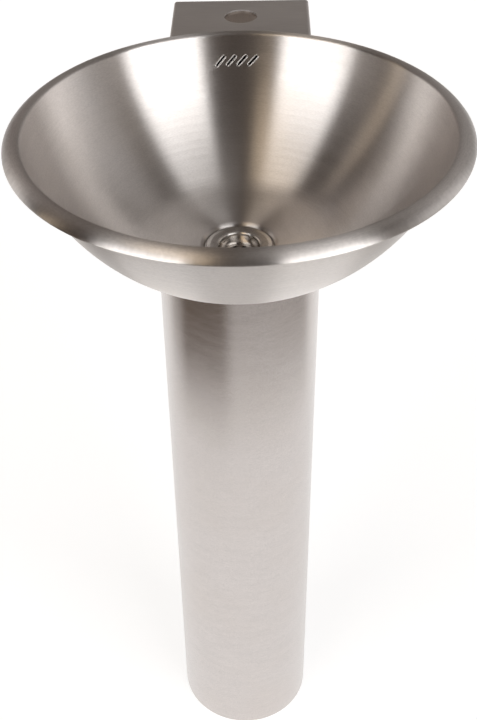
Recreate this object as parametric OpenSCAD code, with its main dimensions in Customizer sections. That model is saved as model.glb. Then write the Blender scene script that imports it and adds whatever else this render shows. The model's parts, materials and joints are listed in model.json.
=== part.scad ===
// Pedestal drinking fountain: a round spun bowl with a rear tap ledge, on a tube pedestal.
// Millimetres, +Z up. The origin is on the floor, on the pedestal's axis; the wall is at +Y.

/* [Bowl] */
// Height of the rim's inner edge above the floor
rim_height = 810; // [700:10:900]
// Outer radius of the rolled rim
rim_radius = 210; // [200:1:220]
// Thickness of the bowl's sheet
bowl_sheet = 1.5; // [1.2:0.1:1.5]
// Inner radius of the dished wall
dish_radius = 200.5; // [199:0.5:202]
// Height of the dished wall's centre above the rim
dish_centre_up = 53.5; // [52:0.5:55]
// Radius of the bend from the wall to the bowl's floor
knuckle_radius = 48.5; // [46:0.5:50]
// Fall of the bowl's floor towards the waste, in degrees
floor_fall = 3; // [2.5:0.5:3.5]
// Number of overflow slots
slot_count = 4; // [3:1:5]

/* [Tap ledge] */
// Width of the ledge
ledge_width = 147; // [140:1:160]
// Distance from the bowl's axis to the wall
wall_distance = 300; // [290:1:310]
// Distance from the bowl's axis to the tap hole
tap_hole_distance = 258; // [254:1:262]
// Radius of the tap hole
tap_hole_radius = 17.5; // [14:0.5:17.5]
// Thickness of the ledge's sheet
ledge_sheet = 1.5; // [1.2:0.1:2]

/* [Pedestal] */
// Outer radius of the pedestal tube
tube_radius = 78; // [78:0.5:79]
// Thickness of the pedestal tube
tube_wall = 2; // [1.5:0.1:2]
// Height of the waste outlet's centre line
outlet_height = 545; // [540:1:548]
// Radius of the circle of floor bolts
floor_bolt_circle = 60; // [56:1:62]
// Radius of the floor bolt holes
floor_bolt_hole = 5.5; // [4:0.5:6]

/* [Access cover] */
// Lower edge of the access opening
access_low = 318; // [300:1:330]
// Upper edge of the access opening
access_high = 494; // [480:1:498]
// Half of the access opening's width
access_half = 38; // [34:1:40]

/* [Hidden] */
$fn = 96;

// Clearances
gap = 0.1;       // between pieces that touch
loose = 0.3;     // between pieces that part
over = 1;        // how far a cutting tool runs past a face

// Bowl: every z of the profile is measured from the rim's inner edge
rim_round = 15;                                   // radius of the rim's rounded band
rim_centre = [197.5, -14];                        // centre of that band
bead_radius = 1.5;                                // rolled bead at the rim's free edge
mouth_fillet = 2.5;                               // rounding from the band to the wall
wall_low = 33;                                    // steepness where the wall meets the knuckle
dish_centre = [0, dish_centre_up];
knuckle_centre = dish_centre
  + (dish_radius - knuckle_radius) * [sin(wall_low), -cos(wall_low)];
floor_edge = knuckle_centre + knuckle_radius * [sin(floor_fall), -cos(floor_fall)];
recess_lip = 38;                                  // radius where the waste recess begins
recess_round = 5;                                 // rounding of the recess's lip
recess_floor = -129;                              // seat of the waste flange
recess_hole = 22;
lip_top = [recess_lip, floor_edge[1] - (floor_edge[0] - recess_lip) * tan(floor_fall)];
lip_centre = lip_top + recess_round * [sin(floor_fall), -cos(floor_fall)];
bead_centre_r = rim_radius - bead_radius;
bead_centre = [
  bead_centre_r,
  rim_centre[1] + sqrt(pow(rim_round - bead_radius, 2) - pow(bead_centre_r - rim_centre[0], 2))
];
mouth_centre = meet(dish_centre, dish_radius + mouth_fillet, rim_centre, rim_round - mouth_fillet);
floor_under = rim_height + floor_edge[1] - bowl_sheet;
recess_under = rim_height + recess_floor - bowl_sheet;
dish_height = rim_height + dish_centre_up;        // height of the dished wall's centre
dish_outer = dish_radius + bowl_sheet;

// Overflow slots
slot_pitch = 3.45;                                // degrees between slots
slot_turn = -1.1;                                 // degrees from the rear to the middle of the slots
slot_height = rim_height - 24.2;
slot_length = 12.7;
slot_radius = 1.15;
slot_lean = 46;                                   // degrees a slot leans from upright
slot_cut = 30;                                    // length of the tool that cuts a slot

// Sound-deadening pad
pad_inner = 44;
pad_outer = 70;
pad_t = 3;

// Tap ledge
ledge_top = rim_height - 8;
ledge_half = ledge_width / 2;
ledge_front = 140;                                // where its sheet starts, inside the bowl
ledge_depth = 100;                                // height of the ledge's sides at the wall
ledge_front_depth = 58;                           // the same at the ledge's front
ledge_full_run = 34;                              // how far from the wall the sides keep their height
sheet_bend = 2;                                   // inside radius of a folded edge
reinforcement_t = 3;
reinforcement_half = 46;
reinforcement_front = tap_hole_distance - 30;
reinforcement_back = tap_hole_distance + 32;
ledge_screw = [wall_distance - 17, ledge_top - 46];
stud_at = [232, ledge_top - 30];
stud_radius = 3;
stud_length = 20;
earth_nut = 5.8;
earth_nut_height = 5;

// Wall plate
plate_t = 2;
plate_half = ledge_half - ledge_sheet - 0.2;
plate_low = ledge_top - 94;
plate_high = ledge_top - 10;
plate_flange = 32;
plate_notch = 12;                                 // height cut off the flanges' ends
wall_hole = 4.5;                                  // radius of the holes for the wall screws
wall_screws = [45, 25];                           // half of their spacing, across and up
wall_screws_z = ledge_top - 52;

// Overflow
box_half = 34;
box_front = 150;                                  // where its sides start, inside the bowl
box_low = rim_height - 58;
box_high = ledge_top - 6;
box_back = 207;
box_sheet = 1.2;
hose_y = 195;
hose_radius = 12.5;
hose_bend = 45;
hose_front = 36;                                  // where the hose ends on the banjo
spigot_radius = 10;
spigot_bore = 7.5;
spigot_low = box_low - 22;
clip_half = 4.5;                                  // half the width of a hose clip's band
clip_housing = [5.5, 12];                         // height and length of its screw housing
clip_screw = 3.2;
clip_up = 10;                                     // from a spigot's end to the clip's middle

// Waste, on the bowl's axis
flange_top = rim_height - 126;
flange_radius = 31.8;
flange_under = rim_height + recess_floor + 1.2;
shank = 20.95;                                    // outer radius of the waste's thread
shank_low = 622;
bore = 16.5;
port_radius = 3.5;                                // overflow ports through the shank
bridge_half = 1.8;                                // half the width of a bar of the bridge
bridge_high = 5;
boss_radius = 5;
strainer_seat = flange_top - 14;
strainer_radius = 18.5;
strainer_rise = 3;                                // how far the strainer's dome rises
strainer_sheet = 1.3;
strainer_thread = 2.5;                            // outer radius of the strainer screw's thread
big_holes = [8, 11.8, 2.3];                       // how many, how far from the axis, radius
small_holes = [6, 7, 1.2];
banjo_low = recess_under - 27;
banjo_high = recess_under - 3;
banjo_mid = (banjo_low + banjo_high) / 2;
banjo_radius = 29;
banjo_room = 25;                                  // outer radius of the water's way round the ports
banjo_wall = 6;
banjo_spigot = 60;                                // where the spigot ends
fibre_t = 1.5;
backnut_radius = 33;
backnut_height = 10.5;

// Trap
tube_r = 16;                                      // outer radius of the waste tubes
tube_t = 1.2;
inlet_seal_t = 3;
inlet_flange = 2.5;                               // thickness of the inlet tube's flange
dip_low = 452;                                    // lower end of the tube in the bottle
body_top = 590;                                   // top of the bottle's neck
seal_t = 3.5;
nut_past = 12;                                    // from a seal's seat to the nut's far end
trap_radius = 33;
trap_low = 470;
trap_neck = 22;
cup_top = 482;
cup_low = 428;
cup_radius = 37;
cup_shoulder = 467;
cup_inner = 29;
cup_t = 3;
branch_radius = 19;
branch_end = 58;
pipe_start = 37;                                  // where the outlet pipe ends in the branch
spigot_bead = wall_distance - 42;                 // bead that stops the drain's socket
spigot_bead_radius = 17.4;

// Pedestal
tube_top = floor_under - 0.6;
tube_inner = tube_radius - tube_wall;
fixing_angles = [-58, -34, 34, 58];               // screws, from the rear
rear_cut = [20, 100];                             // reach of a tool that cuts the tube's rear
outlet_hole = 20;
hose_hole = 15;
ring_t = 3;                                       // wall of the collar and of the base ring
collar_low = tube_top - 26;
collar_gap = 20;                                  // half of the collar's gap for the hose
collar_screw_z = tube_top - 14;
base_high = 36;
base_screw_z = 22;
base_plate = 4;
base_opening = 46;
base_supply_hole = 11.5;
access_corner = 16;
cover_low = access_low - 14;
cover_high = access_high + 14;
cover_half = access_half + 9;
cover_sheet = 1.5;
cover_corner = 14;
cover_inner = tube_radius + loose;
cover_screw_zs = [access_low - 7, access_high + 7];
screw_shank = 2.5;
screw_head = 4.75;
screw_socket = 1.8;

// Supply and stop valve
supply_at = [-54, 8];
pipe_radius = 7.5;
pipe_t = 1;
pipe_low = 18;                                    // stop for the pipe in the coupling
socket_radius = 7.6;
socket_depth = 16;
coupling_radius = 10.5;
coupling_height = 36;
coupling_hex = [13.5, 7, 22];                     // radius, lower end, height
valve_z = 372;
pipe_high = valve_z - 20;
valve_nut_low = valve_z - 35;
valve_nut_radius = 14.5;
valve_nut_height = 17;
valve_neck = 11;
valve_neck_low = valve_z - 27;
valve_radius = 14;
valve_half = 16;                                  // half the height of the valve's body
outlet_thread = 10.48;
valve_bore = 6;
ball_radius = 9;
ball_key = [3, 10];                               // width and depth of the ball's slot
stem_radius = 3.95;
stem_start = 10;                                  // from the ball's centre to the round stem
stem_thread = 2.5;
bonnet = [7.5, 19];                               // radius and length
lever_y = 30;                                     // near face of the lever
lever_off = lever_y - supply_at[1];
lever_half = 5.5;
lever_t = 2.5;
lever_length = 44;
lever_hub = 8;

steel = "silver";
brushed = "lightgray";
rubber = [0.16, 0.16, 0.17];
white_plastic = [0.9, 0.9, 0.88];
chrome = [0.82, 0.83, 0.85];
brass = [0.78, 0.66, 0.38];

// ---- Helpers ----

// Points on an arc, angles counted from +X towards +Y.
function arc(c, r, a0, a1, n) =
  [for (i = [0:n]) c + r * [cos(a0 + (a1 - a0) * i / n), sin(a0 + (a1 - a0) * i / n)]];

// Direction of a vector, in degrees.
function heading(v) = atan2(v[1], v[0]);

// The right-hand crossing of two circles, seen from the first centre to the second.
function meet(c1, r1, c2, r2) =
  let (
    v = c2 - c1,
    d = norm(v),
    a = (r1 * r1 - r2 * r2 + d * d) / (2 * d),
    h = sqrt(r1 * r1 - a * a)
  )
  c1 + a * v / d + h * [-v[1], v[0]] / d;

// Outline of a nut or cup with rounded grip ribs.
function ribbed(r, depth, ribs) =
  [for (i = [0:ribs * 4 - 1])
    let (a = 360 * i / (ribs * 4), k = [0, 0.8, 1, 0.8][i % 4])
    (r - depth + depth * k) * [cos(a), sin(a)]];

// A ring about the Z axis, from z0 to z1.
module ring(r_in, r_out, z0, z1) {
  translate([0, 0, z0]) difference() {
    cylinder(r = r_out, h = z1 - z0);
    translate([0, 0, -over]) cylinder(r = r_in, h = z1 - z0 + 2 * over);
  }
}

// Turns a piece built about Z so that its Z runs along +Y, at a given height.
module along_y(z) {
  translate([0, 0, z]) rotate([-90, 0, 0]) children();
}

// Turns a piece built along +Y to an angle from the rear.
module from_rear(angle) {
  rotate([0, 0, -angle]) children();
}

// A block along Y with its four long edges rounded.
module rounded_block(x0, x1, z0, z1, y0, y1, r) {
  for (x = [x0 + r, x1 - r], z = [z0 + r, z1 - r])
    translate([x, y0, z]) rotate([-90, 0, 0]) cylinder(r = r, h = y1 - y0);
  translate([x0 + r, y0, z0]) cube([x1 - x0 - 2 * r, y1 - y0, z1 - z0]);
  translate([x0, y0, z0 + r]) cube([x1 - x0, y1 - y0, z1 - z0 - 2 * r]);
}

// A button-head screw along Y: its head outside face_y, its shank inside.
module button_screw(face_y, length) {
  rotate([-90, 0, 0]) {
    translate([0, 0, face_y - length]) cylinder(r = screw_shank, h = length + over / 2, $fn = 32);
    translate([0, 0, face_y]) difference() {
      rotate_extrude($fn = 48) polygon([
        [0, 0], [screw_head, 0], [screw_head, 0.7], [screw_head - 0.55, 1.7],
        [screw_head - 1.65, 2.4], [0, 2.7]
      ]);
      translate([0, 0, 1.2]) cylinder(r = screw_socket, h = 2, $fn = 6);
    }
  }
}

// The bowl's outside, to cut neighbours that meet it.
module dish_cutter(clear) {
  translate([0, 0, dish_height]) sphere(r = dish_outer + clear, $fn = 128);
}

// ---- Bowl ----

function bowl_top() = concat(
  [[recess_hole, recess_floor]],
  arc(lip_centre, recess_round, 170, 90 + floor_fall, 8),
  [floor_edge],
  arc(knuckle_centre, knuckle_radius, -90 + floor_fall + 5, -90 + wall_low, 5),
  arc(dish_centre, dish_radius, -90 + wall_low + 2.6, heading(mouth_centre - dish_centre), 16),
  arc(mouth_centre, mouth_fillet,
    heading(dish_centre - mouth_centre) - 10, heading(mouth_centre - rim_centre), 5),
  arc(rim_centre, rim_round, heading(mouth_centre - rim_centre) - 6, heading(bead_centre - rim_centre), 9),
  arc(bead_centre, bead_radius,
    heading(bead_centre - rim_centre) - 30, heading(bead_centre - rim_centre) - 180, 6)
);

function bowl_under() = concat(
  arc(rim_centre, rim_round - bowl_sheet,
    heading(bead_centre - rim_centre) + 6, heading(mouth_centre - rim_centre), 9),
  arc(mouth_centre, mouth_fillet - bowl_sheet,
    heading(mouth_centre - rim_centre) + 20, heading(dish_centre - mouth_centre), 3),
  arc(dish_centre, dish_outer, heading(mouth_centre - dish_centre) - 2.6, -90 + wall_low, 16),
  arc(knuckle_centre, knuckle_radius + bowl_sheet, -90 + wall_low - 5, -90 + floor_fall, 5),
  arc(lip_centre, recess_round - bowl_sheet, 90 + floor_fall, 190, 8),
  [[recess_hole, recess_floor - bowl_sheet]]
);

// Tool for one overflow slot, which leans and runs along +Y.
module slot() {
  rotate([0, slot_lean, 0]) {
    for (s = [-1, 1])
      translate([0, 0, s * (slot_length / 2 - slot_radius)])
        rotate([-90, 0, 0]) cylinder(r = slot_radius, h = slot_cut, $fn = 32);
    translate([-slot_radius, 0, -slot_length / 2 + slot_radius])
      cube([2 * slot_radius, slot_cut, slot_length - 2 * slot_radius]);
  }
}

module bowl() {
  color(steel) difference() {
    translate([0, 0, rim_height])
      rotate_extrude($fn = 180) polygon(concat(bowl_top(), bowl_under()));
    for (i = [0:slot_count - 1])
      from_rear(slot_turn + (i - (slot_count - 1) / 2) * slot_pitch)
        translate([0, dish_radius - slot_cut + 2, slot_height]) slot();
  }
}

// Sound-deadening ring stuck under the bowl's floor, inside the pedestal.
module damping_pad() {
  z_in = floor_under - gap - (floor_edge[0] - pad_inner) * tan(floor_fall);
  z_out = floor_under - gap - (floor_edge[0] - pad_outer) * tan(floor_fall);
  color(rubber) rotate_extrude() polygon([
    [pad_inner, z_in - pad_t], [pad_outer, z_out - pad_t], [pad_outer, z_out], [pad_inner, z_in]
  ]);
}

// Pressed pan behind the overflow slots, with a hose spigot.
module overflow_box() {
  color(steel) difference() {
    union() {
      translate([-box_half, box_front, box_low])
        cube([2 * box_half, box_back - box_front, box_high - box_low]);
      translate([0, hose_y, spigot_low]) cylinder(r = spigot_radius, h = box_low - spigot_low + over);
    }
    translate([-box_half + box_sheet, box_front - over, box_low + box_sheet])
      cube([
        2 * (box_half - box_sheet),
        box_back - box_front - box_sheet + over,
        box_high - box_low - 2 * box_sheet
      ]);
    translate([0, hose_y, spigot_low - over])
      cylinder(r = spigot_bore, h = box_low - spigot_low + box_sheet + 2 * over);
    dish_cutter(gap);
  }
}

// Overflow hose: down from the box, one bend, then forward to the banjo.
module hose_route(r) {
  rise = banjo_mid + hose_bend;
  translate([0, hose_y, rise]) cylinder(r = r, h = box_low - 2 - rise);
  translate([0, hose_y - hose_bend, rise]) rotate([90, 0, 90]) rotate([0, 0, -90])
    rotate_extrude(angle = 90) translate([hose_bend, 0]) circle(r = r);
  translate([0, hose_front, banjo_mid]) rotate([-90, 0, 0])
    cylinder(r = r, h = hose_y - hose_bend - hose_front);
}

module overflow_hose() {
  inner = spigot_radius + gap / 2;
  color(white_plastic) difference() {
    hose_route(hose_radius);
    hose_route(inner);
    translate([0, hose_y, box_low - 3]) cylinder(r = inner, h = 4);
    translate([0, hose_front - over, banjo_mid]) rotate([-90, 0, 0]) cylinder(r = inner, h = 4);
  }
}

// Worm-drive clip: band and screw housing.
module worm_clip() {
  half = clip_housing[1] / 2;
  ring(hose_radius + gap / 2, hose_radius + 1, -clip_half, clip_half);
  translate([hose_radius + 0.8, -half, -clip_half])
    cube([clip_housing[0], 2 * half, 2 * clip_half]);
  translate([hose_radius + 3.6, half - 0.5, 0])
    rotate([-90, 0, 0]) cylinder(r = clip_screw, h = 5, $fn = 6);
}

module hose_clips() {
  color(steel) {
    translate([0, hose_y, spigot_low + clip_up]) worm_clip();
    translate([0, hose_front + clip_up + 1, banjo_mid])
      rotate([-90, 0, 0]) rotate([0, 0, 90]) worm_clip();
  }
}

// ---- Tap ledge and wall fixing ----

// Outline of a block with its top edge at y = 0 and its two upper corners rounded.
module rounded_top(half, depth, r) {
  translate([-half + r, -depth]) square([2 * (half - r), depth]);
  translate([-half, -depth]) square([2 * half, depth - r]);
  for (s = [-1, 1]) translate([s * (half - r), -r]) circle(r = r);
}

// Folded U-section of sheet, open at the bottom, as an outline.
module channel(half, depth, sheet, bend) {
  difference() {
    rounded_top(half, depth, bend + sheet);
    translate([0, -sheet]) rounded_top(half - sheet, depth, bend);
  }
}

module tap_ledge() {
  color(brushed) difference() {
    intersection() {
      translate([0, wall_distance, ledge_top]) rotate([90, 0, 0])
        linear_extrude(height = wall_distance - ledge_front)
          channel(ledge_half, ledge_depth, ledge_sheet, sheet_bend);
      rotate([90, 0, 90]) linear_extrude(height = 2 * ledge_width, center = true) polygon([
        [ledge_front, ledge_top + over], [wall_distance + over, ledge_top + over],
        [wall_distance + over, ledge_top - ledge_depth - over],
        [wall_distance - ledge_full_run, ledge_top - ledge_depth - over],
        [ledge_front, ledge_top - ledge_front_depth]
      ]);
    }
    dish_cutter(gap);
    translate([0, tap_hole_distance, ledge_top - ledge_sheet - over])
      cylinder(r = tap_hole_radius, h = ledge_sheet + 2 * over);
    translate([-ledge_half - over, ledge_screw[0], ledge_screw[1]])
      rotate([0, 90, 0]) cylinder(r = screw_shank + loose, h = ledge_width + 2 * over, $fn = 32);
  }
}

// Thicker plate under the ledge, so that the sheet doesn't flex under a tap.
module hole_reinforcement() {
  top = ledge_top - ledge_sheet - gap;
  color(steel) difference() {
    translate([-reinforcement_half, reinforcement_front, top - reinforcement_t]) cube([
      2 * reinforcement_half, reinforcement_back - reinforcement_front, reinforcement_t
    ]);
    translate([0, tap_hole_distance, top - reinforcement_t - over])
      cylinder(r = tap_hole_radius + 1, h = reinforcement_t + 2 * over);
  }
}

// Bracket screwed to the wall; the ledge's sides slip over it.
module wall_plate() {
  color(steel) difference() {
    translate([0, wall_distance, plate_low]) linear_extrude(height = plate_high - plate_low)
      channel(plate_half, plate_flange, plate_t, sheet_bend);
    for (z = [plate_low - over, plate_high - plate_notch])
      translate([-plate_half - over, wall_distance - plate_flange - over, z]) cube([
        2 * (plate_half + over), plate_flange + over - plate_t - sheet_bend, plate_notch + over
      ]);
    for (x = [-1, 1], z = [-1, 1])
      translate([x * wall_screws[0], wall_distance - 10, wall_screws_z + z * wall_screws[1]])
        rotate([-90, 0, 0]) cylinder(r = wall_hole, h = 20);
    translate([-plate_half - over, ledge_screw[0], ledge_screw[1]]) rotate([0, 90, 0])
      cylinder(r = screw_shank + gap / 2, h = 2 * (plate_half + over), $fn = 32);
  }
}

module ledge_screws() {
  color(chrome) for (side = [-90, 90])
    translate([0, ledge_screw[0], ledge_screw[1]])
      from_rear(side) button_screw(ledge_half, 9);
}

// Bonding stud welded inside the ledge's left side, with its nuts.
module earth_stud() {
  color(steel) translate([-ledge_half + ledge_sheet, stud_at[0], stud_at[1]])
    rotate([0, 90, 0]) cylinder(r = stud_radius, h = stud_length, $fn = 32);
}

module earth_nuts() {
  color(brass) for (x = [3, 10])
    translate([-ledge_half + ledge_sheet + x, stud_at[0], stud_at[1]]) rotate([0, 90, 0])
      difference() {
        cylinder(r = earth_nut, h = earth_nut_height, $fn = 6);
        translate([0, 0, -over])
          cylinder(r = stud_radius + gap / 2, h = earth_nut_height + 2 * over, $fn = 32);
      }
}

// ---- Waste ----

// The waste: flange, threaded shank with overflow ports, and a bridge for the strainer's screw.
module waste_body() {
  bridge_top = strainer_seat - 0.5;
  color(chrome) difference() {
    union() {
      difference() {
        rotate_extrude() polygon([
          [bore, shank_low], [shank, shank_low], [shank, flange_under], [flange_radius, flange_under],
          [flange_radius, flange_top - 0.9], [flange_radius - 0.5, flange_top - 0.4],
          [flange_radius - 4, flange_top], [21.6, flange_top], [20.4, flange_top - 0.4],
          [19.5, flange_top - 1.4], [19, flange_top - 3], [strainer_radius + loose, strainer_seat],
          [bore, strainer_seat]
        ]);
        for (a = [45, 135])
          rotate([0, 0, a]) translate([0, 0, banjo_mid]) rotate([90, 0, 0])
            cylinder(r = port_radius, h = 3 * shank, center = true, $fn = 32);
      }
      for (a = [0, 90]) rotate([0, 0, a])
        translate([-bore - over, -bridge_half, bridge_top - bridge_high])
          cube([2 * (bore + over), 2 * bridge_half, bridge_high]);
      translate([0, 0, bridge_top - bridge_high]) cylinder(r = boss_radius, h = bridge_high);
    }
    translate([0, 0, bridge_top - 10]) cylinder(r = strainer_thread + gap / 2, h = 20, $fn = 32);
  }
}

module waste_gasket() {
  color(rubber) ring(shank + gap, 30.5, rim_height + recess_floor, flange_under);
}

module under_washer() {
  color(rubber) ring(shank + gap, 32, banjo_high, recess_under);
}

// Ring round the waste's overflow ports, with a spigot for the hose.
module overflow_banjo() {
  color(white_plastic) difference() {
    union() {
      ring(shank + gap, banjo_radius, banjo_low, banjo_high);
      along_y(banjo_mid) translate([0, 0, banjo_radius - 3])
        cylinder(r = spigot_radius, h = banjo_spigot - banjo_radius + 3);
    }
    ring(shank - over, banjo_room, banjo_low + banjo_wall, banjo_high - banjo_wall);
    along_y(banjo_mid) translate([0, 0, shank - over])
      cylinder(r = spigot_bore, h = banjo_spigot);
  }
}

module fibre_washer() {
  color("sienna") ring(shank + gap, 30, banjo_low - fibre_t, banjo_low);
}

module waste_backnut() {
  color(brass) difference() {
    translate([0, 0, banjo_low - fibre_t - backnut_height])
      cylinder(r = backnut_radius, h = backnut_height, $fn = 6);
    translate([0, 0, banjo_low - fibre_t - backnut_height - over])
      cylinder(r = shank + gap, h = backnut_height + 2 * over);
  }
}

// Cutting tools for holes = [how many, how far from the axis, radius], from z upwards.
module ring_of_holes(holes, z) {
  for (i = [0:holes[0] - 1]) rotate([0, 0, 360 * i / holes[0]])
    translate([holes[1], 0, z]) cylinder(r = holes[2], h = 10, $fn = 32);
}

// Domed strainer: a ring of round holes, and small holes round the screw.
module strainer() {
  z = strainer_seat + gap;
  top = strainer_rise + strainer_sheet;
  color(chrome) difference() {
    translate([0, 0, z]) rotate_extrude() polygon([
      [strainer_thread + 0.2, strainer_rise], [8, strainer_rise - 0.6], [13, strainer_rise - 1.7],
      [15.5, 0.1], [strainer_radius, 0], [strainer_radius, 1.2], [15.7, 1.4], [13.2, top - 1.7],
      [8, top - 0.6], [strainer_thread + 0.2, top]
    ]);
    rotate([0, 0, 180 / big_holes[0]]) ring_of_holes(big_holes, z - over);
    ring_of_holes(small_holes, z - over);
  }
}

// Slotted screw through the strainer into the bridge.
module strainer_screw() {
  z = strainer_seat + gap + strainer_rise + strainer_sheet + gap / 2;
  color(chrome) difference() {
    union() {
      translate([0, 0, z - 11]) cylinder(r = strainer_thread, h = 11 + over / 2, $fn = 32);
      translate([0, 0, z]) rotate_extrude($fn = 48)
        polygon([[0, 0], [4.4, 0], [4.3, 0.7], [3.2, 1.6], [1.6, 2.1], [0, 2.2]]);
    }
    translate([-0.6, -5, z + 1]) cube([1.2, 10, 3]);
  }
}

// ---- Trap ----

module inlet_seal() {
  color(rubber) ring(bore, 20.4, shank_low - inlet_seal_t, shank_low);
}

// A grip nut: threaded bore for most of its length, and a lip at the far end.
module grip_nut(r, bore_r, lip_r, length, lip) {
  difference() {
    linear_extrude(height = length) polygon(ribbed(r, 1.6, 14));
    translate([0, 0, lip]) cylinder(r = bore_r, h = length);
    translate([0, 0, -over]) cylinder(r = lip_r, h = length);
  }
}

module inlet_nut() {
  color(chrome) translate([0, 0, shank_low - 13])
    grip_nut(r = 27, bore_r = shank + gap, lip_r = tube_r + loose, length = 24, lip = 6.8);
}

// Flanged tube from the waste down into the bottle.
module inlet_tube() {
  top = shank_low - inlet_seal_t;
  color(chrome) {
    ring(tube_r - tube_t, tube_r, dip_low, top - inlet_flange / 2);
    ring(tube_r - tube_t, 20.3, top - inlet_flange, top);
  }
}

module body_seal() {
  color(rubber) ring(tube_r + gap, trap_neck - 0.6, body_top, body_top + seal_t);
}

module body_nut() {
  color(chrome) translate([0, 0, body_top + nut_past]) mirror([0, 0, 1])
    grip_nut(r = 28, bore_r = trap_neck + gap, lip_r = tube_r + loose, length = 21, lip = 7.5);
}

module trap_body() {
  inner = trap_radius - 2.5;
  color(chrome) difference() {
    union() {
      rotate_extrude() polygon([
        [tube_r + gap, body_top], [tube_r + gap, body_top - 14], [26, body_top - 18],
        [inner, body_top - 26], [inner, trap_low], [trap_radius, trap_low],
        [trap_radius, body_top - 24], [28, body_top - 15], [trap_neck, body_top - 11],
        [trap_neck, body_top]
      ]);
      difference() {
        along_y(outlet_height) cylinder(r = branch_radius, h = branch_end);
        cylinder(r = inner + 1, h = body_top);
      }
    }
    along_y(outlet_height) cylinder(r = tube_r + gap, h = branch_end + over);
  }
}

module cup_seal() {
  color(rubber) ring(29.6, 32.7, cup_shoulder + loose, trap_low - loose);
}

module trap_cup() {
  color(chrome) difference() {
    union() {
      rotate_extrude() polygon([
        [0, cup_low], [24, cup_low], [28.5, cup_low + 1.2], [31.6, cup_low + 5], [32.2, cup_low + 12],
        [32.2, cup_shoulder - 9], [35, cup_shoulder - 5], [35, cup_top], [0, cup_top]
      ]);
      translate([0, 0, cup_shoulder - 4]) linear_extrude(height = cup_top - cup_shoulder + 2)
        polygon(ribbed(cup_radius, 1.6, 20));
    }
    translate([0, 0, cup_low + cup_t]) cylinder(r = cup_inner, h = 100);
    translate([0, 0, cup_shoulder]) cylinder(r = trap_radius + loose, h = 100);
  }
}

module outlet_seal() {
  color(rubber) along_y(outlet_height)
    ring(tube_r + gap, branch_radius - 0.4, branch_end, branch_end + seal_t);
}

module outlet_nut() {
  color(chrome) along_y(outlet_height) translate([0, 0, branch_end + nut_past])
    mirror([0, 0, 1])
      grip_nut(r = 24.5, bore_r = branch_radius + gap, lip_r = tube_r + loose, length = 22, lip = 7.8);
}

module outlet_pipe() {
  color(chrome) along_y(outlet_height) difference() {
    union() {
      translate([0, 0, pipe_start]) cylinder(r = tube_r, h = wall_distance - pipe_start);
      translate([0, 0, spigot_bead]) cylinder(r = spigot_bead_radius, h = 2);
    }
    translate([0, 0, pipe_start - over]) cylinder(r = tube_r - tube_t, h = wall_distance);
  }
}

// Rubber bush where the waste pipe leaves the pedestal.
module pipe_grommet() {
  color(rubber) along_y(outlet_height) {
    ring(tube_r + gap, outlet_hole - 0.2, tube_inner - 4, tube_radius + 1);
    ring(tube_r + gap, outlet_hole + 3, tube_radius + 0.2, tube_radius + 3);
  }
}

// ---- Pedestal ----

// Holes for the ring of small fixing screws.
module fixing_holes(z, r) {
  for (a = fixing_angles) from_rear(a)
    translate([0, tube_inner - 8, z]) rotate([-90, 0, 0]) cylinder(r = r, h = 20, $fn = 32);
}

module fixing_screws(z) {
  for (a = fixing_angles) from_rear(a)
    translate([0, 0, z]) button_screw(tube_radius + 0.05, 7);
}

// Ring welded under the bowl; the tube slips over it. Its gap lets the overflow hose through.
module top_collar() {
  color(steel) difference() {
    ring(tube_inner - ring_t, tube_inner - gap, collar_low, tube_top - 0.4);
    translate([-collar_gap, 0, collar_low - over]) cube([2 * collar_gap, 100, 40]);
    fixing_holes(collar_screw_z, screw_shank + gap / 2);
  }
}

module pedestal() {
  color(brushed) difference() {
    ring(tube_inner, tube_radius, 0, tube_top);
    rounded_block(-access_half, access_half, access_low, access_high,
      rear_cut[0], rear_cut[1], access_corner);
    along_y(outlet_height) cylinder(r = outlet_hole, h = rear_cut[1]);
    along_y(banjo_mid) cylinder(r = hose_hole, h = rear_cut[1]);
    translate([-hose_hole, rear_cut[0], banjo_mid]) cube([2 * hose_hole, rear_cut[1], 60]);
    fixing_holes(collar_screw_z, screw_shank + loose);
    fixing_holes(base_screw_z, screw_shank + loose);
    for (z = cover_screw_zs)
      along_y(z) cylinder(r = screw_shank + loose, h = rear_cut[1], $fn = 32);
  }
}

module collar_screws() {
  color(chrome) fixing_screws(collar_screw_z);
}

// Ring bolted to the floor; the tube stands over it.
module base_ring() {
  color(steel) difference() {
    union() {
      ring(tube_inner - ring_t, tube_inner - gap, 0, base_high);
      ring(base_opening, tube_inner - 1, 0, base_plate);
    }
    for (a = [45:90:315]) rotate([0, 0, a]) translate([floor_bolt_circle, 0, -over])
      cylinder(r = floor_bolt_hole, h = base_plate + 2 * over);
    at_supply() translate([0, 0, -over])
      cylinder(r = base_supply_hole, h = base_plate + 2 * over);
    fixing_holes(base_screw_z, screw_shank + gap / 2);
  }
}

module base_screws() {
  color(chrome) fixing_screws(base_screw_z);
}

module access_cover() {
  color(brushed) difference() {
    intersection() {
      ring(cover_inner, cover_inner + cover_sheet, cover_low - over, cover_high + over);
      rounded_block(-cover_half, cover_half, cover_low, cover_high,
        rear_cut[0], rear_cut[1], cover_corner);
    }
    for (z = cover_screw_zs)
      along_y(z) cylinder(r = screw_shank + gap, h = rear_cut[1], $fn = 32);
  }
}

module cover_screws() {
  color(chrome) for (z = cover_screw_zs)
    translate([0, 0, z]) button_screw(cover_inner + cover_sheet + 0.05, 8);
}

// ---- Supply and stop valve ----

module at_supply() {
  translate([supply_at[0], supply_at[1], 0]) children();
}

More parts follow.
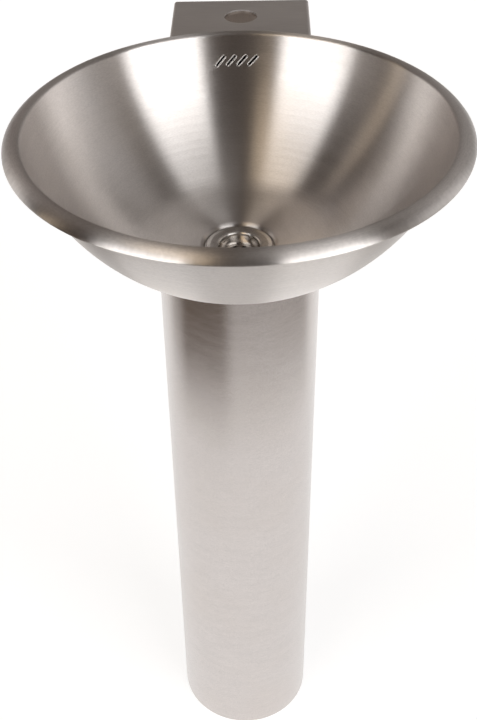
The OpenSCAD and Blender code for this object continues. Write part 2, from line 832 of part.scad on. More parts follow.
// Coupling with a socket that faces down, for the building's pipe.
module supply_coupling() {
  color(brass) at_supply() difference() {
    union() {
      cylinder(r = coupling_radius, h = coupling_height);
      translate([0, 0, coupling_hex[1]])
        cylinder(r = coupling_hex[0], h = coupling_hex[2], $fn = 6);
    }
    translate([0, 0, -over]) cylinder(r = socket_radius, h = socket_depth + over);
    cylinder(r = pipe_radius - pipe_t, h = coupling_height);
    translate([0, 0, pipe_low]) cylinder(r = pipe_radius + gap / 2, h = coupling_height);
  }
}

module supply_pipe() {
  color([0.72, 0.45, 0.3]) at_supply()
    ring(pipe_radius - pipe_t, pipe_radius, pipe_low + 2 * gap, pipe_high);
}

module valve_nut() {
  color(chrome) at_supply() difference() {
    translate([0, 0, valve_nut_low])
      cylinder(r = valve_nut_radius, h = valve_nut_height, $fn = 6);
    translate([0, 0, valve_nut_low - over]) cylinder(r = pipe_radius + gap, h = valve_nut_height);
    translate([0, 0, valve_neck_low - 2]) cylinder(r = valve_neck + gap, h = valve_nut_height);
  }
}

module valve_body() {
  color(chrome) at_supply() difference() {
    union() {
      translate([0, 0, valve_neck_low]) cylinder(r = valve_neck, h = valve_half);
      translate([0, 0, valve_z - valve_half]) cylinder(r = valve_radius, h = 2 * valve_half);
      translate([0, 0, valve_z]) cylinder(r = outlet_thread, h = 2 * valve_half - over);
      along_y(valve_z) cylinder(r = bonnet[0], h = bonnet[1]);
    }
    translate([0, 0, valve_neck_low - over])
      cylinder(r = pipe_radius + gap / 2, h = pipe_high + gap - valve_neck_low + over);
    translate([0, 0, valve_neck_low]) cylinder(r = valve_bore, h = 5 * valve_half);
    translate([0, 0, valve_z]) sphere(r = ball_radius + gap);
    along_y(valve_z) cylinder(r = stem_radius + 0.08, h = 30);
  }
}

module valve_ball() {
  color(chrome) at_supply() translate([0, 0, valve_z]) difference() {
    sphere(r = ball_radius);
    cylinder(r = valve_bore, h = 40, center = true);
    translate([-ball_key[0] / 2, ball_radius - 2, -ball_key[1]])
      cube([ball_key[0], ball_key[1], 2 * ball_key[1]]);
  }
}

// Stem: a key in the ball's slot, a shaft through the bonnet, and a threaded end for the nut.
module valve_stem() {
  color(brass) at_supply() translate([0, 0, valve_z]) {
    translate([-ball_key[0] / 2 + gap, 7.2, -2.6]) cube([ball_key[0] - 2 * gap, 3.2, 5.2]);
    rotate([-90, 0, 0]) {
      translate([0, 0, stem_start]) cylinder(r = stem_radius, h = lever_off - stem_start - gap);
      translate([0, 0, stem_start + 2]) cylinder(r = stem_thread, h = lever_off - 3, $fn = 32);
    }
  }
}

module valve_lever() {
  color(steel) at_supply() translate([0, lever_off, valve_z]) difference() {
    union() {
      rotate([-90, 0, 0]) cylinder(r = lever_hub, h = lever_t);
      translate([-lever_half, 0, 0]) cube([2 * lever_half, lever_t, lever_length]);
    }
    translate([0, -over, 0]) rotate([-90, 0, 0])
      cylinder(r = stem_thread + gap / 2, h = lever_t + 2 * over, $fn = 32);
  }
}

// Plastic sleeve over the lever's end.
module lever_grip() {
  half = lever_half + 2;
  color("steelblue") at_supply() translate([0, lever_off, valve_z]) difference() {
    rounded_block(-half, half, 14, lever_length + 3, -1.4, lever_t + 1.4, 5);
    translate([-lever_half - gap / 2, -gap / 2, 0])
      cube([2 * lever_half + gap, lever_t + gap, lever_length + gap]);
  }
}

module lever_nut() {
  color(chrome) at_supply() translate([0, lever_off + lever_t + gap / 2, valve_z])
    rotate([-90, 0, 0]) difference() {
      cylinder(r = 5, h = 4, $fn = 6);
      translate([0, 0, -over]) cylinder(r = stem_thread + gap / 2, h = 8, $fn = 32);
    }
}

bowl();
damping_pad();
overflow_box();
overflow_hose();
hose_clips();
tap_ledge();
hole_reinforcement();
wall_plate();
ledge_screws();
earth_stud();
earth_nuts();
waste_body();
waste_gasket();
under_washer();
overflow_banjo();
fibre_washer();
waste_backnut();
strainer();
strainer_screw();
inlet_seal();
inlet_nut();
inlet_tube();
body_seal();
body_nut();
trap_body();
cup_seal();
trap_cup();
outlet_seal();
outlet_nut();
outlet_pipe();
pipe_grommet();
top_collar();
pedestal();
collar_screws();
base_ring();
base_screws();
access_cover();
cover_screws();
supply_coupling();
supply_pipe();
valve_nut();
valve_body();
valve_ball();
valve_stem();
valve_lever();
lever_grip();
lever_nut();
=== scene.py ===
"""Studio looks for the pedestal drinking fountain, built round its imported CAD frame."""
import json
import math

import bpy
from mathutils import Matrix, Vector


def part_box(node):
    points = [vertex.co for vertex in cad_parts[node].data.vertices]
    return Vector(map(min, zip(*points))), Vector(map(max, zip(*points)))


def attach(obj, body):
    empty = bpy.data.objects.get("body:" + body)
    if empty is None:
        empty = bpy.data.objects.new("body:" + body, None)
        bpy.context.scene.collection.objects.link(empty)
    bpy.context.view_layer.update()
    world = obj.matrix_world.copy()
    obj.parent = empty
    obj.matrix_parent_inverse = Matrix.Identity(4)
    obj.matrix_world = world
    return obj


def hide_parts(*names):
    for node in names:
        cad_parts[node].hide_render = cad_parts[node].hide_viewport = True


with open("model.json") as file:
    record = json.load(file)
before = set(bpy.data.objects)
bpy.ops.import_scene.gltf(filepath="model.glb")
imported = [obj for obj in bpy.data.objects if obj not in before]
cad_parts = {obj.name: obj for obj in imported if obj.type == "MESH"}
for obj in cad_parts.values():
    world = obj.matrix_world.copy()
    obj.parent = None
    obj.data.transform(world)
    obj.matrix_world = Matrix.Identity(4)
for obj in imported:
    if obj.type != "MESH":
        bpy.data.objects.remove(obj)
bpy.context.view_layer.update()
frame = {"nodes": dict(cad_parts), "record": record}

MM = 0.001
NODES = frame["nodes"]
scene = bpy.context.scene

# ---- Measures: the frame's boxes, and the design's own sizes where a box doesn't give them ----

BOWL_LOW, BOWL_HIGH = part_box("bowl")
RIM_RADIUS = (BOWL_HIGH.x - BOWL_LOW.x) / 2
RIM_CROWN = 1.0 * MM       # how far the rim's rounded band stands above its inner edge
RIM_HEIGHT = BOWL_HIGH.z - RIM_CROWN
BOX_LOW, BOX_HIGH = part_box("overflow_box")
LEDGE_LOW, LEDGE_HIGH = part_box("tap_ledge")
HOSE_LOW, HOSE_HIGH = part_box("overflow_hose")
HOSE_RADIUS = (HOSE_HIGH.x - HOSE_LOW.x) / 2

# The dished wall is part of a sphere.
DISH_RADIUS = 200.5 * MM   # inside
DISH_SHEET = 1.5 * MM
DISH_CENTRE_UP = 53.5 * MM    # above the rim's inner edge
DISH_CENTRE = RIM_HEIGHT + DISH_CENTRE_UP


# ---- Node helpers ----

def node(tree, kind, inputs=None, **settings):
    """A shader node with its settings and inputs; an input may be a value or another node's socket."""
    made = tree.nodes.new("ShaderNode" + kind)
    for key, value in settings.items():
        setattr(made, key, value)
    for key, value in (inputs or {}).items():
        if isinstance(value, bpy.types.NodeSocket):
            tree.links.new(value, made.inputs[key])
        else:
            made.inputs[key].default_value = value
    return made


def calc(tree, operation, a, b=0.0, c=0.0):
    """One Math node's result."""
    return node(tree, "Math", {0: a, 1: b, 2: c}, operation=operation).outputs[0]


def remap(tree, value, low, high, new_low, new_high, smooth=False):
    """value from low..high to new_low..new_high, clamped."""
    kind = "SMOOTHSTEP" if smooth else "LINEAR"
    ends = {0: value, 1: low, 2: high, 3: new_low, 4: new_high}
    return node(tree, "MapRange", ends, interpolation_type=kind).outputs[0]


def mix_colour(tree, factor, a, b):
    """Colour a where factor is 0, and b where it is 1."""
    made = node(tree, "Mix", data_type="RGBA")
    for key, value in ((0, factor), (6, a), (7, b)):
        if isinstance(value, bpy.types.NodeSocket):
            tree.links.new(value, made.inputs[key])
        else:
            made.inputs[key].default_value = value
    return made.outputs[2]


def material(name):
    """A new material, its tree and its Principled shader."""
    made = bpy.data.materials.new(name)
    made.use_nodes = True
    tree = made.node_tree
    shader = tree.nodes["Principled BSDF"]
    return made, tree, shader


def rgba(colour):
    return (*colour, 1.0)


def shade(colour, factor):
    """A colour made darker or lighter, with its alpha."""
    return rgba([c * factor for c in colour])


# ---- Camera ----

CAMERA_DISTANCE = 4.358  # rim radii from the bowl's axis to the camera
CAMERA_HEIGHT = 2.319    # rim radii from the rim up to the camera
CAMERA_SIDE = 1.1        # degrees round the object, towards +X
CAMERA_PAN = -3.22       # degrees, clockwise from +Y
CAMERA_PITCH = 39.59     # degrees down
CAMERA_ROLL = -2.14      # degrees
CAMERA_SENSOR = 36.0     # mm along the picture's long side
CAMERA_LENS = 57.05      # mm
CAMERA_SHIFT = 0.042


def make_camera():
    """The camera, in front of the bowl and above it."""
    data = bpy.data.cameras.new("camera")
    data.sensor_width = CAMERA_SENSOR
    data.lens = CAMERA_LENS
    data.shift_x = CAMERA_SHIFT
    made = bpy.data.objects.new("camera", data)
    scene.collection.objects.link(made)
    side, pan, pitch, roll = (math.radians(a) for a in (CAMERA_SIDE, CAMERA_PAN, CAMERA_PITCH, CAMERA_ROLL))
    away = CAMERA_DISTANCE * RIM_RADIUS
    place = Vector((away * math.sin(side), -away * math.cos(side), RIM_HEIGHT + CAMERA_HEIGHT * RIM_RADIUS))
    look = Vector((math.sin(pan) * math.cos(pitch), math.cos(pan) * math.cos(pitch), -math.sin(pitch)))
    right = look.cross(Vector((0, 0, 1))).normalized()
    up = right.cross(look)
    right, up = right * math.cos(roll) + up * math.sin(roll), up * math.cos(roll) - right * math.sin(roll)
    turn = Matrix((right, up, -look)).transposed().to_4x4()
    made.matrix_world = Matrix.Translation(place) @ turn
    scene.camera = made


# ---- Studio ----

FLOOR_SIZE = 30.0
FLOOR_PAPER = (0.45, 0.45, 0.45)
FLOOR_PAPER_DIM = (0.05, 0.035, 0.025)
FLOOR_GLOW = 0.73
FLOOR_GLOW_DIM = (0.1, 0.07, 0.05)
# The steel sees the floor in front of the object fade with distance; the camera sees it plain. Each row is
# degrees of azimuth, the softness of those edges, radii where the fade begins and ends, and the light left.
FLOOR_FADES = [
    ((-112, 112), 14, (0.56, 0.95), 0.36),
    ((-90, -16), 12, (0.66, 0.82), 0.0),
]
WHITE = (1.0, 1.0, 1.0)
ROOM = (0.052, 0.041, 0.036)

# Panels and glows round the object. Each row is degrees of azimuth, from the camera's side towards +X,
# degrees of elevation, the softness of the edges in degrees across and up, and radiance.
PANELS = [
    ((21, 65), (-40, 43), (3, 8), (3.8, 3.8, 3.8)),
    ((-65, -24), (-40, 39), (3, 8), (3.6, 3.6, 3.6)),
    ((22, 76), (46, 62), (5, 6), (0.55, 0.54, 0.53)),
    ((-78, -38), (45, 61), (8, 6), (0.45, 0.43, 0.41)),
    ((-20, -15), (-20, 40), (2, 8), (0.12, 0.09, 0.055)),
    ((-44, -15), (45, 68), (4, 7), (1.25, 1.0, 0.7)),
    ((66, 90), (-60, 55), (3, 15), (0.18, 0.17, 0.16)),
    ((88, 126), (-30, 34), (12, 20), (0.95, 0.93, 0.92)),
    ((124, 175), (-60, 45), (14, 25), (0.3, 0.29, 0.28)),
    ((-99, -91), (-60, 36), (2, 8), (0.85, 0.7, 0.52)),
    ((-126, -106), (-30, 16), (8, 12), (1.1, 1.08, 1.05)),
    ((-142, -122), (5, 32), (8, 10), (0.4, 0.38, 0.36)),
    ((-175, -120), (-60, 60), (12, 25), (0.2, 0.18, 0.17)),
    ((-125, -65), (64, 82), (12, 5), (1.9, 1.6, 1.25)),
    ((70, 150), (62, 82), (14, 6), (0.5, 0.49, 0.48)),
    ((0, 180), (66, 100), (12, 6), (0.2, 0.195, 0.19)),
    ((-180, 0), (72, 100), (12, 6), (0.1, 0.09, 0.08)),
    ((150, 180), (30, 70), (10, 10), (0.15, 0.14, 0.13)),
]


def window(tree, value, low, high, soft):
    """1 between low and high, falling softly to 0 outside."""
    rise = remap(tree, value, low - soft, low + soft, 0.0, 1.0, smooth=True)
    fall = remap(tree, value, high - soft, high + soft, 1.0, 0.0, smooth=True)
    return calc(tree, "MULTIPLY", rise, fall)


def azimuth_of(tree, parts):
    """Degrees round from the camera's side, growing towards +X, from a vector's split parts."""
    forward = calc(tree, "MULTIPLY", parts[1], -1.0)
    return calc(tree, "DEGREES", calc(tree, "ARCTAN2", parts[0], forward))


def make_world():
    """A dim room with soft panels for the steel to reflect, and white behind the object."""
    world = bpy.data.worlds.new("studio")
    scene.world = world
    world.use_nodes = True
    tree = world.node_tree
    background = tree.nodes["Background"]
    direction = node(tree, "TexCoord").outputs["Generated"]
    parts = node(tree, "SeparateXYZ", {0: direction}).outputs
    azimuth = azimuth_of(tree, parts)
    elevation = calc(tree, "DEGREES", calc(tree, "ARCSINE", parts[2]))
    total = node(tree, "RGB").outputs[0]
    total.default_value = rgba(ROOM)
    for (az_low, az_high), (el_low, el_high), (soft_across, soft_up), radiance in PANELS:
        across = window(tree, azimuth, az_low, az_high, soft_across)
        along = window(tree, elevation, el_low, el_high, soft_up)
        amount = calc(tree, "MULTIPLY", across, along)
        glow = node(tree, "Mix", {0: 1.0}, data_type="RGBA", blend_type="ADD")
        tree.links.new(total, glow.inputs[6])
        scaled = node(tree, "VectorMath", {0: radiance}, operation="SCALE")
        tree.links.new(amount, scaled.inputs["Scale"])
        tree.links.new(scaled.outputs[0], glow.inputs[7])
        total = glow.outputs[2]
    seen = node(tree, "LightPath").outputs["Is Camera Ray"]
    tree.links.new(mix_colour(tree, seen, total, rgba(WHITE)), background.inputs["Color"])


def make_floor():
    """White paper to the camera; what the steel sees of it is dimmer in front of the object."""
    mesh = bpy.data.meshes.new("floor")
    half = FLOOR_SIZE / 2
    corners = [(-half, -half, 0), (half, -half, 0), (half, half, 0), (-half, half, 0)]
    mesh.from_pydata(corners, [], [(0, 1, 2, 3)])
    floor = bpy.data.objects.new("floor", mesh)
    scene.collection.objects.link(floor)
    made, tree, shader = material("floor_paper")
    place = node(tree, "TexCoord").outputs["Object"]
    azimuth = azimuth_of(tree, node(tree, "SeparateXYZ", {0: place}).outputs)
    away = node(tree, "VectorMath", {0: place}, operation="LENGTH").outputs["Value"]
    light = node(tree, "Value").outputs[0]
    light.default_value = 1.0
    for (low, high), soft, (near, far), least in FLOOR_FADES:
        side = window(tree, azimuth, low, high, soft)
        depth = remap(tree, away, near, far, 0.0, 1.0 - least, smooth=True)
        left = calc(tree, "SUBTRACT", 1.0, calc(tree, "MULTIPLY", side, depth))
        light = calc(tree, "MULTIPLY", light, left)
    direct = node(tree, "LightPath").outputs["Is Camera Ray"]
    light = calc(tree, "MAXIMUM", light, direct)
    paper = mix_colour(tree, light, rgba(FLOOR_PAPER_DIM), rgba(FLOOR_PAPER))
    glow = mix_colour(tree, light, rgba(FLOOR_GLOW_DIM), rgba(WHITE))
    tree.links.new(paper, shader.inputs["Base Color"])
    shader.inputs["Roughness"].default_value = 0.9
    shader.inputs["Specular IOR Level"].default_value = 0.1
    tree.links.new(glow, shader.inputs["Emission Color"])
    shader.inputs["Emission Strength"].default_value = FLOOR_GLOW
    mesh.materials.append(made)


# ---- Materials ----

# Marks that run round the axis: noise cells per metre along the profile, and per radian round the axis.
FINE_LINES = (1800, 9)
WIDE_BANDS = (130, 2.2)
SPECKS = (1000, 60)
NOISE_LOW, NOISE_HIGH = 0.3, 0.7    # nearly all of a noise's values lie between these
FINE_SHARE, WIDE_SHARE = 0.6, 0.4
LINE_DULLING = 0.035       # roughness that the lines add or take away
STAIN_TINT = (0.97, 0.93, 0.87)
STAIN_SHARE = 0.25         # how far a stain takes the colour to its tint
STAIN_DULLING = 0.03       # roughness that a stain adds
CLOUD_SHADE = 0.86
CLOUD_SHARE = 0.2          # how far a cloud takes ground metal to its shade
ACROSS_BRUSHING = 0.25     # of a turn, so that highlights smear across the brushing
BRUSHED_DEPTH = 0.02 * MM
GROUND_DEPTH = 0.03 * MM
PLATED_DEPTH = 0.02 * MM
MOULDED_DEPTH = 0.05 * MM


def object_place(tree):
    """A point's place in metres, which moves with the piece that it is on."""
    return node(tree, "TexCoord").outputs["Object"]


def noise(tree, place, scale, detail):
    return node(tree, "TexNoise", {"Vector": place, "Scale": scale, "Detail": detail}).outputs[0]


def spread(tree, value, low=NOISE_LOW, high=NOISE_HIGH, smooth=False):
    """A noise's values between low and high, stretched to 0..1."""
    return remap(tree, value, low, high, 0.0, 1.0, smooth)


def rougher(tree, amount, by, base):
    """A roughness of base where amount is 0, and of base plus by where it is 1."""
    return calc(tree, "MULTIPLY_ADD", amount, by, base)


def two_tone(tree, factor, colour, at_0, at_1):
    """A colour times one share where factor is 0, and another where it is 1."""
    return mix_colour(tree, factor, shade(colour, at_0), shade(colour, at_1))


def finish(tree, shader, colour, roughness, height, strength, depth, metallic=1.0):
    """Joins a surface's colour, roughness and relief to its shader."""
    tree.links.new(colour, shader.inputs["Base Color"])
    tree.links.new(roughness, shader.inputs["Roughness"])
    shader.inputs["Metallic"].default_value = metallic
    relief = node(tree, "Bump", {"Strength": strength, "Distance": depth, "Height": height})
    tree.links.new(relief.outputs[0], shader.inputs["Normal"])


def ring_coordinates(tree, along, around, meridian):
    """Coordinates for marks that run round the Z axis: stretched by around, packed by along.
    meridian "tube" measures along the profile by height alone, and "bowl" by height plus radius."""
    parts = node(tree, "SeparateXYZ", {0: object_place(tree)}).outputs
    flat = node(tree, "CombineXYZ", {0: parts[0], 1: parts[1]}).outputs[0]
    radius = node(tree, "VectorMath", {0: flat}, operation="LENGTH").outputs["Value"]
    unit = node(tree, "VectorMath", {0: flat}, operation="NORMALIZE").outputs[0]
    turn = node(tree, "SeparateXYZ", {0: unit}).outputs
    path = calc(tree, "ADD", radius, parts[2]) if meridian == "bowl" else parts[2]
    return node(tree, "CombineXYZ", {
        0: calc(tree, "MULTIPLY", turn[0], around),
        1: calc(tree, "MULTIPLY", turn[1], around),
        2: calc(tree, "MULTIPLY", path, along),
    }).outputs[0]


def ring_marks(tree, cells, detail, meridian):
    """Marks round the Z axis, from -1 to 1."""
    marks = noise(tree, ring_coordinates(tree, *cells, meridian), scale=1.0, detail=detail)
    return remap(tree, marks, NOISE_LOW, NOISE_HIGH, -1.0, 1.0)


def ring_brushed(name, colour, roughness, anisotropy, meridian):
    """Stainless steel brushed round the Z axis, with fine lines, wider bands, specks and faint stains."""
    made, tree, shader = material(name)
    streak = ring_marks(tree, FINE_LINES, 3.0, meridian)
    wide = ring_marks(tree, WIDE_BANDS, 4.0, meridian)
    speck = ring_marks(tree, SPECKS, 1.0, meridian)
    cloud = noise(tree, object_place(tree), scale=9.0, detail=5.0)
    stain = spread(tree, cloud, low=0.35, high=0.75, smooth=True)
    faint = calc(tree, "MULTIPLY", wide, WIDE_SHARE)
    lines = calc(tree, "ADD", calc(tree, "MULTIPLY", streak, FINE_SHARE), faint)
    tone = remap(tree, calc(tree, "ADD", lines, speck), -2.0, 2.0, 0.0, 1.0)
    plain = two_tone(tree, tone, colour, at_0=0.86, at_1=1.12)
    stained = rgba([share * c for share, c in zip(STAIN_TINT, colour)])
    tinted = mix_colour(tree, calc(tree, "MULTIPLY", stain, STAIN_SHARE), plain, stained)
    matt = rougher(tree, stain, STAIN_DULLING, roughness)
    rough = calc(tree, "ADD", calc(tree, "MULTIPLY", lines, LINE_DULLING), matt)
    finish(tree, shader, tinted, rough, streak, strength=0.12, depth=BRUSHED_DEPTH)
    shader.inputs["Anisotropic"].default_value = anisotropy
    shader.inputs["Anisotropic Rotation"].default_value = ACROSS_BRUSHING
    tangent = node(tree, "Tangent", direction_type="RADIAL", axis="Z")
    tree.links.new(tangent.outputs[0], shader.inputs["Tangent"])
    return made


def grained(name, colour, roughness, cells):
    """Matt ground or mill-finished metal. cells is the grain's noise cells per metre along X, Y and Z."""
    made, tree, shader = material(name)
    place = node(tree, "Mapping", {0: object_place(tree), "Scale": cells}).outputs[0]
    grain = spread(tree, noise(tree, place, scale=1.0, detail=4.0))
    patch = spread(tree, noise(tree, object_place(tree), scale=14.0, detail=4.0))
    plain = two_tone(tree, grain, colour, at_0=0.9, at_1=1.08)
    clouded = mix_colour(tree, calc(tree, "MULTIPLY", patch, CLOUD_SHARE), plain, shade(colour, CLOUD_SHADE))
    rough = rougher(tree, grain, by=0.08, base=rougher(tree, patch, by=0.05, base=roughness - 0.04))
    finish(tree, shader, clouded, rough, grain, strength=0.15, depth=GROUND_DEPTH)
    return made


def plated(name, colour, roughness):
    """Bright plating with faint wiping marks and duller patches."""
    made, tree, shader = material(name)
    patch = spread(tree, noise(tree, object_place(tree), scale=60.0, detail=5.0), low=0.35)
    fine = noise(tree, object_place(tree), scale=900.0, detail=2.0)
    tone = two_tone(tree, patch, colour, at_0=1.0, at_1=0.88)
    rough = rougher(tree, patch, by=0.08, base=roughness)
    finish(tree, shader, tone, rough, fine, strength=0.06, depth=PLATED_DEPTH)
    return made


def moulded(name, colour, roughness, skin_scale=700.0, strength=0.25):
    """Moulded plastic or rubber with a fine skin texture."""
    made, tree, shader = material(name)
    skin = noise(tree, object_place(tree), scale=skin_scale, detail=3.0)
    patch = spread(tree, noise(tree, object_place(tree), scale=25.0, detail=3.0))
    tone = two_tone(tree, patch, colour, at_0=0.92, at_1=1.06)
    rough = rougher(tree, patch, by=0.1, base=roughness)
    finish(tree, shader, tone, rough, skin, strength, MOULDED_DEPTH, metallic=0.0)
    return made


# Each slot's maker, its colour, its roughness, and what else its maker takes.
FINISHES = {
    "bowl_steel": (ring_brushed, (0.66, 0.63, 0.612), 0.31, 1.0, "bowl"),
    "pedestal_steel": (ring_brushed, (0.61, 0.573, 0.558), 0.21, 0.2, "tube"),
    "ledge_steel": (grained, (0.56, 0.535, 0.52), 0.5, (60, 2200, 2200)),
    "mill_steel": (grained, (0.42, 0.36, 0.32), 0.45, (900, 900, 120)),
    "cast_steel": (grained, (0.55, 0.52, 0.50), 0.4, (400, 400, 1500)),
    "chrome_plate": (plated, (0.78, 0.78, 0.80), 0.08),
    "waste_chrome": (plated, (0.68, 0.65, 0.62), 0.18),
    "screw_steel": (plated, (0.62, 0.60, 0.58), 0.22),
    "brass": (plated, (0.76, 0.56, 0.27), 0.25),
    "copper": (plated, (0.72, 0.38, 0.24), 0.28),
    "rubber": (moulded, (0.035, 0.035, 0.038), 0.55),
    "white_plastic": (moulded, (0.72, 0.72, 0.69), 0.4, 700.0, 0.1),
    "fibre": (moulded, (0.30, 0.10, 0.05), 0.75, 1400.0, 0.5),
    "damping": (moulded, (0.05, 0.05, 0.052), 0.8, 300.0, 0.6),
    "grip_plastic": (moulded, (0.02, 0.09, 0.32), 0.3, 700.0, 0.15),
}


def finish_nodes():
    """Gives every CAD node the procedural material of its slot."""
    made = {name: maker(name, *rest) for name, (maker, *rest) in FINISHES.items()}
    for row in frame["record"]["subparts"]:
        mesh = NODES[row["node"]].data
        if not mesh.materials:
            mesh.materials.append(None)
        for i in range(len(mesh.materials)):
            mesh.materials[i] = made[row["material_slot"]]


# ---- Pieces that the CAD leaves out ----

def loft(rings, closed=False):
    """Points and faces of a skin over rings of equal length, capped at both ends or closed on itself."""
    size = len(rings[0])
    points = [p for ring in rings for p in ring]
    faces = []
    for i in range(len(rings) if closed else len(rings) - 1):
        a, b = i * size, (i + 1) % len(rings) * size
        faces += [(a + k, a + (k + 1) % size, b + (k + 1) % size, b + k) for k in range(size)]
    if not closed:
        faces += [tuple(reversed(range(size))), tuple(range(len(points) - size, len(points)))]
    return points, faces


def add_piece(name, skins, slot_name):
    """One object from several skins, riding on the root body, with a slot's material."""
    points, faces = [], []
    for skin_points, skin_faces in skins:
        faces += [tuple(k + len(points) for k in face) for face in skin_faces]
        points += skin_points
    mesh = bpy.data.meshes.new(name)
    mesh.from_pydata(points, [], faces)
    mesh.shade_smooth()
    mesh.materials.append(bpy.data.materials[slot_name])
    made = bpy.data.objects.new(name, mesh)
    scene.collection.objects.link(made)
    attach(made, "root")
    return made


def circle_round(centre, forward, radius, sides):
    """Points of a circle round a centre, square to a direction that isn't along X."""
    across = Vector((1, 0, 0))
    across = (across - forward * across.dot(forward)).normalized()
    up = forward.cross(across)
    turns = [2 * math.pi * k / sides for k in range(sides)]
    return [centre + radius * (across * math.cos(a) + up * math.sin(a)) for a in turns]


def directions(path):
    """The direction of a path of points at each of them."""
    last = len(path) - 1
    return [(path[min(i + 1, last)] - path[max(i - 1, 0)]).normalized() for i in range(last + 1)]


def on_dish(x, z, proud, radius=DISH_RADIUS):
    """The point of the dished wall's rear at x and z, lifted towards the dish's centre by proud."""
    point = Vector((x, math.sqrt(radius ** 2 - x ** 2 - (DISH_CENTRE - z) ** 2), z))
    return point + (Vector((0, 0, DISH_CENTRE)) - point).normalized() * proud


SLOT_COUNT = 4
SLOT_TURN = -1.1           # degrees from the rear to the middle of the slots
SLOT_PITCH = 3.45          # degrees
SLOT_ANGLES = [SLOT_TURN + SLOT_PITCH * (i - (SLOT_COUNT - 1) / 2) for i in range(SLOT_COUNT)]
SLOT_DROP = 24.2 * MM      # below the rim
SLOT_HEIGHT = RIM_HEIGHT - SLOT_DROP
SLOT_LEAN = math.radians(46)
SLOT_STRAIGHT = 5.2 * MM   # half the length of a slot's straight sides
LIP_RADIUS = 1.7 * MM      # from a slot's middle to its lip's ridge
LIP_HALF = 0.55 * MM       # half its width
LIP_RISE = 0.12 * MM       # its height along a slot's sides
LIP_LOW = 0.3              # the share of that height left round a slot's ends
LIP_ROOT = 0.25 * MM       # how far a lip's underside reaches into the sheet


def slot_outline(steps=12):
    """(place, outward direction) round a slot, along and across it."""
    found = []
    for end, start in ((1, -90), (-1, 90)):
        for k in range(steps + 1):
            turn = math.radians(start + 180 * k / steps)
            out = Vector((math.cos(turn), math.sin(turn)))
            found.append((Vector((end * SLOT_STRAIGHT, 0)) + out * LIP_RADIUS, out))
    return found


def make_slot_lips(sides=10):
    """The pressed lip round each overflow slot, highest along its long sides."""
    along = Vector((math.sin(SLOT_LEAN), math.cos(SLOT_LEAN)))
    across = Vector((math.cos(SLOT_LEAN), -math.sin(SLOT_LEAN)))
    skins = []
    for angle in SLOT_ANGLES:
        turn = Matrix.Rotation(-math.radians(angle), 3, "Z")
        rings = []
        for place, out in slot_outline():
            high = LIP_LOW + (1 - LIP_LOW) * abs(out[1])
            ring = []
            for k in range(sides):
                a = 2 * math.pi * k / sides
                spot = place + out * (LIP_HALF * math.cos(a))
                flat = along * spot[0] + across * spot[1]
                lift = math.sin(a) * (LIP_RISE * high if math.sin(a) > 0 else LIP_ROOT)
                ring.append(turn @ on_dish(flat[0], SLOT_HEIGHT + flat[1], lift))
            rings.append(ring)
        skins.append(loft(rings, closed=True))
    add_piece("slot_lips", skins, "ledge_steel")


WELD_RADIUS = 1.1 * MM
WELD_PITCH = 1.6 * MM      # from one ripple to the next
WELD_RIPPLE = 0.12         # share of the radius
WELD_TIP = 0.3             # share of the radius at the bead's first and last point
WELD_GROWTH = 0.35         # what each point further in adds to that share
LEDGE_WELD = (57 * MM, 8 * MM)    # its ends, below the ledge's top
BOX_WELD = (25 * MM, 2 * MM)      # its ends, above the overflow box's bottom and below its top


def weld(path, sides=10):
    """A rippled weld bead along a path of points."""
    rings, far = [], 0.0
    for i, (point, forward) in enumerate(zip(path, directions(path))):
        far += (point - path[i - 1]).length if i else 0.0
        end = min(i, len(path) - 1 - i)
        ripple = 1 + WELD_RIPPLE * math.sin(2 * math.pi * far / WELD_PITCH)
        taper = min(1.0, WELD_TIP + WELD_GROWTH * end)
        rings.append(circle_round(point, forward, WELD_RADIUS * ripple * taper, sides))
    return loft(rings)


def dish_line(x, z_low, z_high, steps=140):
    """Points down the dished wall's outside at one x."""
    heights = [z_low + (z_high - z_low) * k / steps for k in range(steps + 1)]
    return [on_dish(x, z, 0.0, DISH_RADIUS + DISH_SHEET) for z in heights]


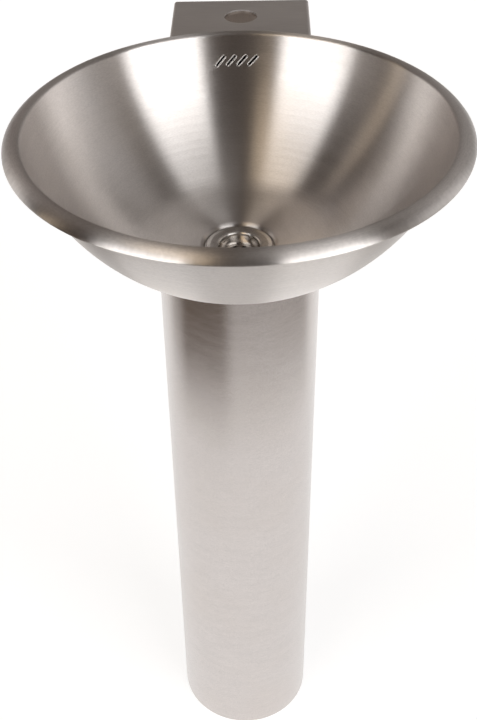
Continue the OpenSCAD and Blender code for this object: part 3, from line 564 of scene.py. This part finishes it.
def make_welds():
    """Beads where the ledge's sides and the overflow box meet the bowl's outside."""
    low, high = LEDGE_HIGH.z - LEDGE_WELD[0], LEDGE_HIGH.z - LEDGE_WELD[1]
    beads = [weld(dish_line(x, low, high)) for x in (LEDGE_LOW.x, LEDGE_HIGH.x)]
    add_piece("ledge_welds", beads, "mill_steel")
    low, high = BOX_LOW.z + BOX_WELD[0], BOX_HIGH.z - BOX_WELD[1]
    beads = [weld(dish_line(x, low, high)) for x in (BOX_LOW.x, BOX_HIGH.x)]
    add_piece("box_welds", beads, "mill_steel")


HOSE_CUFF = 24 * MM        # smooth length at each end, where the clips sit
HOSE_PITCH = 4.4 * MM      # from one rib to the next
HOSE_DEPTH = 1.3 * MM      # of the grooves between them
HOSE_BORE = 10.05 * MM     # radius
HOSE_BEND = 45 * MM        # radius of the middle line


def hose_path(step=0.55 * MM):
    """Points along the overflow hose's middle line, down, round one bend and forward, and its length."""
    y_rear, y_front = HOSE_HIGH.y - HOSE_RADIUS, HOSE_LOW.y
    z_high, z_low = HOSE_HIGH.z, HOSE_LOW.z + HOSE_RADIUS
    down = z_high - (z_low + HOSE_BEND)
    round_it = HOSE_BEND * math.pi / 2
    on = y_rear - HOSE_BEND - y_front
    total = down + round_it + on
    steps = int(total / step)
    path = []
    for k in range(steps + 1):
        far = total * k / steps
        if far < down:
            path.append(Vector((0, y_rear, z_high - far)))
        elif far < down + round_it:
            turn = (far - down) / HOSE_BEND
            y = y_rear - HOSE_BEND * (1 - math.cos(turn))
            path.append(Vector((0, y, z_low + HOSE_BEND * (1 - math.sin(turn)))))
        else:
            path.append(Vector((0, y_rear - HOSE_BEND - (far - down - round_it), z_low)))
    return path, total


def make_hose(sides=48):
    """The corrugated overflow hose, which stands for the plain one."""
    path, total = hose_path()
    forward = directions(path)
    outer = []
    for i, point in enumerate(path):
        far = total * i / (len(path) - 1)
        inside = min(far, total - far) - HOSE_CUFF
        wave = 0.5 - 0.5 * math.cos(2 * math.pi * inside / HOSE_PITCH)
        dip = HOSE_DEPTH * min(1.0, max(0.0, inside / HOSE_PITCH)) * wave
        outer.append(circle_round(point, forward[i], HOSE_RADIUS - dip, sides))
    back = zip(path[::-2], forward[::-2])
    inner = [circle_round(point, turn, HOSE_BORE, sides) for point, turn in back]
    made = add_piece("ribbed_overflow_hose", [loft(outer + inner, closed=True)], "white_plastic")
    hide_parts("overflow_hose")


make_camera()
make_world()
make_floor()
finish_nodes()
make_slot_lips()
make_welds()
make_hose()
scene.view_settings.view_transform = "Standard"
